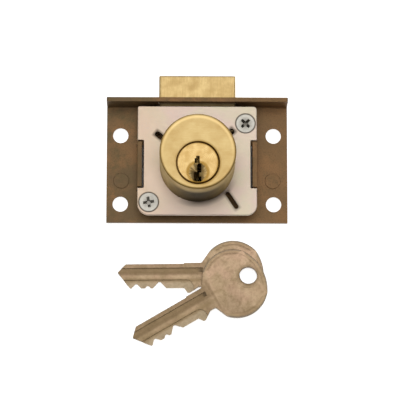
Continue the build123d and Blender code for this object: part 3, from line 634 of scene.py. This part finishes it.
class LOCK_OT_barrel(LockOperator):
    """Gives the barrel and its chamber plugs their turned brass"""

    bl_idname = "lock.barrel"
    bl_label = "Turn the Barrel"

    ring_spacing = 2.4 * MM
    tarnish_size = 5 * MM
    brush_size = 0.4 * MM
    brush_depth = 0.004 * MM
    seam_reach = 1.2 * MM
    rubbed_start = -6 * MM
    rubbed_end = 1 * MM
    wall_start = 0.7 * MM
    wall_end = 0.5 * MM
    corner_start = 0.1 * MM
    corner_end = 0.4 * MM
    foot_start = 4 * MM
    foot_end = 8 * MM
    front_start = 0.9 * MM
    front_end = 0.5 * MM
    highlight_inset = 1.1 * MM
    highlight_reach = 0.7 * MM
    rim_inset = 0.3 * MM
    rim_reach = 0.6 * MM

    def execute(self, context):
        tint = colours()
        brass = Finish("barrel_brass", tint.barrel, 0.96)
        x, y, z = (brass.along(axis) for axis in "XYZ")
        rings = brass.rings(self.ring_spacing, brass.place, 1.5)
        tarnish = brass.noise(self.tarnish_size, 5.0, 0.62)
        brushed = brass.noise(self.brush_size, 3.0, place=brass.moved(scale=(8, 1, 1)))
        brass.layer(brass.spread(tarnish, 0.35, 0.7, 0, 0.7), tint.barrel_dark)
        brass.layer(brass.spread(brushed, 0.4, 0.7, 0, 0.3), tint.barrel_dark)
        seam = brass.near(brass.away(middle("plug")), plug_lip(), self.seam_reach)
        rubbed_and_lit = brass.spread(x, self.rubbed_start, self.rubbed_end, 0.3, 0.8)
        brass.layer(rubbed_and_lit * seam, tint.stain)
        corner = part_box("cylinder_body")[1]
        radius, top = corner.x, corner.z
        around = brass.away()
        # Painted shade: the barrel's wall darkens towards its foot on the lower side
        wall = brass.spread(around, radius - self.wall_start, radius - self.wall_end)
        wall = wall * brass.spread(z, top - self.corner_start, top - self.corner_end)
        foot = brass.spread(z, top - self.foot_start, top - self.foot_end)
        brass.layer(wall * foot * brass.spread(y, -0.6 * radius, -radius), tint.brass_shade)
        # Painted highlight: a lighter band inside the rim of the face's upper half
        front = brass.spread(z, top - self.front_start, top - self.front_end)
        highlight = brass.near(around, radius - self.highlight_inset, self.highlight_reach)
        upper = brass.spread(y, -0.2 * radius, 0.7 * radius, 0, 0.5)
        brass.layer(highlight * front * upper, tint.bolt)
        # A brown line along the rim of the face, darker towards the bottom
        rim = brass.near(around, radius - self.rim_inset, self.rim_reach)
        worn = brass.spread(y, 0.6 * radius, radius, 0.5, 0.15)
        brass.layer(worn * rim * front, tint.stain)
        roughness = 0.27 + 0.12 * tarnish + 0.03 * rings + 0.3 * wall
        brass.complete(roughness, brass.bump(brushed, self.brush_depth, 0.4))
        dress(["cylinder_body", "chamber_plugs"], brass)
        round_edges(["cylinder_body"], edges().turned)
        round_edges(["chamber_plugs"])
        return {"FINISHED"}


class LOCK_OT_plug(LockOperator):
    """Gives the plug its bright brass"""

    bl_idname = "lock.plug"
    bl_label = "Turn the Plug"

    ring_spacing = 1.8 * MM
    smear_size = 2.6 * MM
    ring_depth = 0.0015 * MM
    sunk_start = 0.2 * MM
    sunk_end = 1.4 * MM
    dimple_drop = 3.3 * MM
    dimple_radius = 3.5 * MM
    dimple_reach = 0.8 * MM
    seam_reach = 0.7 * MM
    rubbed_start = -6 * MM
    rubbed_end = 1 * MM

    def execute(self, context):
        tint = colours()
        brass = Finish("plug_brass", tint.plug, 0.98)
        centre = middle("plug")
        rings = brass.rings(self.ring_spacing, brass.moved(centre), 1.0)
        smear = brass.noise(self.smear_size, 4.0, 0.6)
        brass.layer(brass.spread(smear, 0.4, 0.65, 0, 0.8), tint.plug_dark)
        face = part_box("cylinder_body")[1].z
        # Painted shade: the plug darkens below its face, in the keyway
        sunk = brass.spread(brass.along("Z"), face - self.sunk_start, face - self.sunk_end, 0, 0.5)
        brass.layer(sunk, tint.brass_shade)
        # Painted shade: a brown ring round the edge of the key-entry dimple
        dimple = brass.away(centre - Vector((0, self.dimple_drop, 0)))
        brass.layer(0.75 * brass.near(dimple, self.dimple_radius, self.dimple_reach), tint.stain)
        seam = brass.near(brass.away(centre), plug_lip(), self.seam_reach)
        rubbed_and_lit = brass.spread(brass.along("X"), self.rubbed_start, self.rubbed_end, 0.1, 0.75)
        brass.layer(rubbed_and_lit * seam, tint.stain)
        brass.complete(0.22 + 0.1 * smear + 0.03 * rings, brass.bump(rings, self.ring_depth, 0.3))
        dress(["plug"], brass)
        round_edges(["plug"], edges().turned)
        return {"FINISHED"}


class LOCK_OT_bolt(LockOperator):
    """Gives the bolt its tumbled brass with faint file marks"""

    bl_idname = "lock.bolt"
    bl_label = "Tumble the Bolt"

    mark_size = 0.5 * MM
    stain_size = 4 * MM
    mark_depth = 0.006 * MM
    left_reach = 1.0 * MM
    top_reach = 0.7 * MM
    inside_start = 0.8 * MM
    inside_end = 1.6 * MM

    def execute(self, context):
        tint = colours()
        brass = Finish("bolt_brass", tint.bolt, 0.85)
        marks = brass.noise(self.mark_size, 3.0, place=brass.moved(scale=(1, 9, 1)))
        stain = brass.noise(self.stain_size, 5.0, 0.65)
        brass.layer(brass.spread(stain, 0.38, 0.66, 0, 0.8), tint.bolt_dark)
        brass.layer(brass.spread(marks, 0.45, 0.75, 0, 0.6), tint.bolt_dark)
        low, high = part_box("bolt")
        x, y = (brass.along(axis) for axis in "XY")
        # Painted shade: darker along the bolt's left and top edges
        left = brass.spread(x, low.x + self.left_reach, low.x, 0, 0.55)
        top = brass.spread(y, high.y - self.top_reach, high.y, 0, 0.45)
        brass.layer(left.maths("MAXIMUM", top), tint.brass_shade)
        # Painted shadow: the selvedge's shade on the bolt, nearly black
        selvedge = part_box("back_plate")[1].y
        inside = brass.spread(y, selvedge - self.inside_start, selvedge - self.inside_end)
        brass.layer(0.85 * inside, tint.grime)
        brass.complete(0.4 + 0.16 * stain, brass.bump(marks, self.mark_depth, 0.6))
        dress(["bolt"], brass)
        round_edges(["bolt"])
        return {"FINISHED"}


class LOCK_OT_keys(LockOperator):
    """Gives both keys their worn nickel silver with painted shade"""

    bl_idname = "lock.keys"
    bl_label = "Finish the Keys"

    wear_size = 3.5 * MM
    bloom_size = 6 * MM
    rub_size = 0.9 * MM
    bloom_centre = (5 * MM, 3 * MM, 0)
    scratch_size = 0.3 * MM
    scratch_turn = 8
    scratch_depth = 0.006 * MM
    rough_size = 1.4 * MM
    rough_turn = -35
    hollow_start = 0.1 * MM
    hollow_end = 0.25 * MM
    sector_fade = 0.4 * MM
    step_inset = 1.5 * MM
    step_reach = 0.5 * MM

    def lay(self, silver, wear, masks):
        """Lays rows of painted shade and tone over a key."""
        for colour, share, names in wear:
            # The mask of each row, painted shade in most rows
            worn = prod((masks[name] for name in names), start=share)
            silver.layer(worn, getattr(colours(), colour))

    def lay_bow_edges(self, silver, place, along, across):
        """Shades the three arcs of a bow inwards from its edge."""
        tint = colours()
        sectors = (
            silver.spread(across, CORNER.y, CORNER.y + self.sector_fade),
            silver.spread(along, CORNER.x, CORNER.x - self.sector_fade),
            silver.spread(across, -CORNER.y, -CORNER.y - self.sector_fade),
        )
        for (centre, radius), sector in zip(bow_circles(), sectors):
            inwards = radius - silver.away(centre, place)
            for colour, share, start, end in BOW_EDGE_SHADE:
                # Painted shade inwards from the bow's edge
                worn = silver.spread(inwards, start * MM, end * MM, 0, share)
                silver.layer(worn * sector, getattr(tint, colour))
            step = silver.near(inwards, self.step_inset, self.step_reach)
            silver.layer(0.25 * step * sector, tint.key_shade)

    def finish_key(self, name, hole, angle, blade_shade):
        """Lays tone, wear and painted shade on one key, from its own coordinates along and across it.
        """
        tint = colours()
        low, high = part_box(name)
        centre = Vector((*hole, (low.z + high.z) / 2))
        half = (high.z - low.z) / 2
        silver = Finish(f"nickel_silver_{name}", tint.key, 0.85)
        place = silver.turned(180 + angle, centre)
        along, across, up = (silver.along(axis, place) for axis in "XYZ")
        wear = silver.noise(self.wear_size, 5.0, 0.62, place, 0.6)
        bloom = silver.noise(self.bloom_size, 3.0, 0.5, silver.moved(self.bloom_centre))
        scratch_place = silver.turned(angle + self.scratch_turn, centre, (9, 1, 1))
        scratches = silver.noise(self.scratch_size, 3.0, place=scratch_place)
        rough_place = silver.turned(angle + self.rough_turn, centre, (1, 4, 1))
        rough = silver.noise(self.rough_size, 3.0, 0.6, rough_place)
        rubbed_and_lit = silver.noise(self.rub_size, 4.0, 0.6, place)
        ways = {
            "along": along,
            "across": across,
            "off_middle": across.magnitude(),
            "from_hole": silver.away(place=place),
        }
        masks = {
            "blade_shade": blade_shade,
            "hollow": silver.spread(up.magnitude(), half - self.hollow_start, half - self.hollow_end),
            "rough": silver.spread(rough, 0.3, 0.65),
            "rubbed_and_lit": silver.spread(rubbed_and_lit, 0.45, 0.7),
        }
        for mask, (way, start, end) in KEY_FADES.items():
            masks[mask] = silver.spread(ways[way], start * MM, end * MM)
        for mask, (way, value, reach) in KEY_BANDS.items():
            masks[mask] = silver.near(ways[way], value * MM, reach * MM)
        silver.layer(silver.spread(wear, 0.4, 0.68, 0, 0.75), tint.key_tarnish_and_shade)
        silver.layer(silver.spread(bloom, 0.45, 0.65, 0, 0.7), tint.key_warm)
        self.lay(silver, BLADE_SHADE_AND_TONE, masks)
        self.lay_bow_edges(silver, place, along, across)
        self.lay(silver, BOW_SHADE_AND_WEAR, masks)
        silver.complete(0.36 + 0.16 * wear, silver.bump(scratches, self.scratch_depth, 0.5))
        dress([name], silver)
        round_edges([name])

    def execute(self, context):
        for name, (hole, angle, blade_shade) in KEY_PLACES.items():
            self.finish_key(name, hole, angle, blade_shade)
        return {"FINISHED"}


class LOCK_OT_screws(LockOperator):
    """Gives the screws their zinc-plated steel"""

    bl_idname = "lock.screws"
    bl_label = "Finish the Screws"

    spot_size = 0.9 * MM
    deep_start = 0.05 * MM
    deep_end = 0.3 * MM
    seam_reach = 0.35 * MM
    recess_start = 2.4 * MM
    recess_end = 2.2 * MM
    smear_start = 2.6 * MM
    smear_end = 0.9 * MM

    # Painted shade in the recess and darkening of the head, for the upper right and the lower left
    # screw
    darkening = ((0.5, 0.5), (0.1, 0.3))

    def execute(self, context):
        tint = colours()
        steel = Finish("screw_steel", tint.screw, 0.85)
        spots = steel.noise(self.spot_size, 4.0)
        steel.layer(steel.spread(spots, 0.45, 0.75, 0, 0.5), tint.steel)
        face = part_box("case_screws")[1].z
        deep = steel.spread(steel.along("Z"), face - self.deep_start, face - self.deep_end)
        for place, (painted_shade, dulling) in zip(screw_places(), self.darkening):
            around = steel.away(place)
            # Painted shade: a dark ring in the gap round the head, and dark in the cross recess
            seam = steel.near(around, SCREW_HEAD, self.seam_reach)
            steel.layer(0.8 * seam, tint.grime)
            recess = steel.spread(around, self.recess_start, self.recess_end, 0, painted_shade)
            steel.layer(recess * deep, tint.grime)
            smear = steel.spread(around, self.smear_start, self.smear_end, 0, dulling)
            steel.layer(smear, tint.grime)
        steel.complete(0.3 + 0.2 * spots)
        dress(["case_screws", "cylinder_screws"], steel)
        round_edges(["case_screws", "cylinder_screws"], edges().turned)
        return {"FINISHED"}


class LOCK_OT_works(LockOperator):
    """Gives the pieces inside the lock their steel and brass"""

    bl_idname = "lock.works"
    bl_label = "Finish the Works"

    lathe_size = 0.3 * MM
    drawn_size = 0.2 * MM
    pin_lathe_size = 0.25 * MM
    steel_nodes = ["threaded_pillars", "support_posts", "guide_stud", "drive_cam", "drive_pin"]
    spring_nodes = ["pin_springs", "retaining_ring"]
    pin_nodes = ["bottom_pin_1", "bottom_pin_2", "bottom_pin_3", "bottom_pin_4", "driver_pins"]

    def execute(self, context):
        tint = colours()
        steel = Finish("turned_steel", tint.steel, 0.9)
        lathe = steel.noise(self.lathe_size, 2.0, place=steel.moved(scale=(10, 10, 1)))
        steel.complete(0.3 + 0.14 * lathe)
        dress(self.steel_nodes, steel)
        round_edges(self.steel_nodes, edges().turned)
        spring = Finish("spring_steel", tint.spring, 0.9)
        drawn = spring.noise(self.drawn_size, 2.0)
        spring.complete(0.28 + 0.16 * drawn)
        dress(self.spring_nodes, spring)
        round_edges(self.spring_nodes)
        brass = Finish("pin_brass", tint.pins, 1.0)
        lathe = brass.noise(self.pin_lathe_size, 2.0, place=brass.moved(scale=(10, 1, 10)))
        brass.complete(0.26 + 0.12 * lathe)
        dress(self.pin_nodes, brass)
        round_edges(self.pin_nodes)
        return {"FINISHED"}


class LOCK_OT_stage(LockOperator):
    """Lays the pale floor and sets the lamp, the sky and the camera"""

    bl_idname = "lock.stage"
    bl_label = "Set the Stage"

    def lay_floor(self):
        """White paper that keeps the lock's shadow and looks a little brighter to the camera."""
        look = studio()
        sheet = bmesh.new()
        bmesh.ops.create_grid(sheet, x_segments=1, y_segments=1, size=look.floor_size)
        bmesh.ops.translate(sheet, verts=sheet.verts, vec=(0, 0, cad_box[0].z - look.floor_drop))
        mesh = bpy.data.meshes.new("floor")
        sheet.to_mesh(mesh)
        sheet.free()
        floor = bpy.data.objects.new("floor", mesh)
        bpy.context.scene.collection.objects.link(floor)
        paper = Finish("floor_paper", colours().paper, 0.0)
        paper.feed("Specular IOR Level", 0.1)
        rays = ("Is Camera Ray", "Is Glossy Ray", "Is Transmission Ray")
        camera, glossy, through = (paper.node("ShaderNodeLightPath", {}, {}, kind) for kind in rays)
        seen = camera.maths("MAXIMUM", glossy).maths("MAXIMUM", through)
        beside, beyond = (
            paper.along(axis).magnitude().over(half)
            for axis, half in (("X", look.shade_width), ("Y", look.shade_depth))
        )
        paper.feed("Emission Color", seen * beside.maths("MAXIMUM", beyond))
        paper.feed("Emission Strength", look.floor_glow)
        paper.complete(0.9)
        mesh.materials.append(paper.material)

    def hang_lamp(self):
        """A soft box over the lock whose brightness is given as the radiance that it shows."""
        look = studio()
        lamp = bpy.data.lights.new("soft_box", "AREA")
        lamp.shape = "RECTANGLE"
        lamp.size = look.lamp_width
        lamp.size_y = look.lamp_height
        lamp.energy = look.lamp_strength * look.lamp_width * look.lamp_height * pi
        item = bpy.data.objects.new("soft_box", lamp)
        item.location = look.lamp_place
        sight = (cad_box[0] + cad_box[1]) / 2 - look.lamp_place
        item.rotation_euler = sight.to_track_quat("-Z", "Y").to_euler()
        bpy.context.scene.collection.objects.link(item)

    def colour_sky(self):
        """A bright tent overhead that falls off to a dim horizon, white to the camera."""
        look = studio()
        world = bpy.data.worlds.new("sky")
        bpy.context.scene.world = world
        world.use_nodes = True
        world.node_tree.nodes.clear()
        sky = Nodes(world.node_tree)
        way = sky.node("ShaderNodeTexCoord", {}, {}, "Generated")
        axis = Vector((0, sin(look.sky_lean), 1)).normalized()
        along = sky.vectors("DOT_PRODUCT", (way, axis), "Value")
        light = sky.node(
            "ShaderNodeMapRange",
            {"interpolation_type": "SMOOTHSTEP"},
            {
                "Value": along,
                "From Min": look.sky_start,
                "From Max": look.sky_end,
                "To Min": look.horizon,
                "To Max": look.zenith,
            },
        )
        seen = sky.node("ShaderNodeLightPath", {}, {}, "Is Camera Ray")
        lit = sky.node("ShaderNodeBackground", {}, {"Color": WHITE, "Strength": light})
        white = sky.node("ShaderNodeBackground", {}, {"Color": WHITE})
        both = sky.node("ShaderNodeMixShader", {}, {0: seen, 1: lit, 2: white})
        sky.node("ShaderNodeOutputWorld", {}, {"Surface": both})

    def set_camera(self):
        """A long lens above the lock, at the photograph's angle."""
        look = studio()
        flat = cos(look.elevation)
        back = Vector((sin(look.azimuth) * flat, -cos(look.azimuth) * flat, sin(look.elevation)))
        right = Vector((0, 1, 0)).cross(back).normalized()
        up = back.cross(right)
        right_rolled = right * cos(look.roll) + up * sin(look.roll)
        up_rolled = up * cos(look.roll) - right * sin(look.roll)
        camera = bpy.data.objects.new("camera", bpy.data.cameras.new("camera"))
        camera.data.lens = look.lens
        camera.data.sensor_width = look.sensor
        camera.data.clip_start = look.nearest
        camera.data.clip_end = look.farthest
        turn = Matrix((right_rolled, up_rolled, back)).transposed().to_4x4()
        camera.matrix_world = Matrix.Translation(Vector(look.target) + back * look.distance) @ turn
        bpy.context.scene.collection.objects.link(camera)
        bpy.context.scene.camera = camera

    def execute(self, context):
        context.scene.view_settings.view_transform = "Standard"
        self.lay_floor()
        self.hang_lamp()
        self.colour_sky()
        self.set_camera()
        return {"FINISHED"}


OPERATORS = (
    LOCK_OT_plate,
    LOCK_OT_cap,
    LOCK_OT_barrel,
    LOCK_OT_plug,
    LOCK_OT_bolt,
    LOCK_OT_keys,
    LOCK_OT_screws,
    LOCK_OT_works,
    LOCK_OT_stage,
)


class LOCK_PT_panel(bpy.types.Panel):
    """Lists the lock's operators"""

    bl_idname = "LOCK_PT_panel"
    bl_label = "Cut Cupboard Lock"
    bl_space_type = "VIEW_3D"
    bl_region_type = "UI"
    bl_category = "Lock"

    def draw(self, context):
        for operator in OPERATORS:
            self.layout.operator(operator.bl_idname)


CLASSES = (LockColours, LockEdges, LockStudio) + OPERATORS + (LOCK_PT_panel,)


def register():
    for item in CLASSES:
        bpy.utils.register_class(item)
    bpy.types.Scene.lock_colours = PointerProperty(type=LockColours)
    bpy.types.Scene.lock_edges = PointerProperty(type=LockEdges)
    bpy.types.Scene.lock_studio = PointerProperty(type=LockStudio)


def unregister():
    del bpy.types.Scene.lock_studio
    del bpy.types.Scene.lock_edges
    del bpy.types.Scene.lock_colours
    for item in reversed(CLASSES):
        bpy.utils.unregister_class(item)


def main():
    register()
    for operator in OPERATORS:
        group, name = operator.bl_idname.split(".")
        getattr(getattr(bpy.ops, group), name)()


if __name__ == "__main__":
    main()
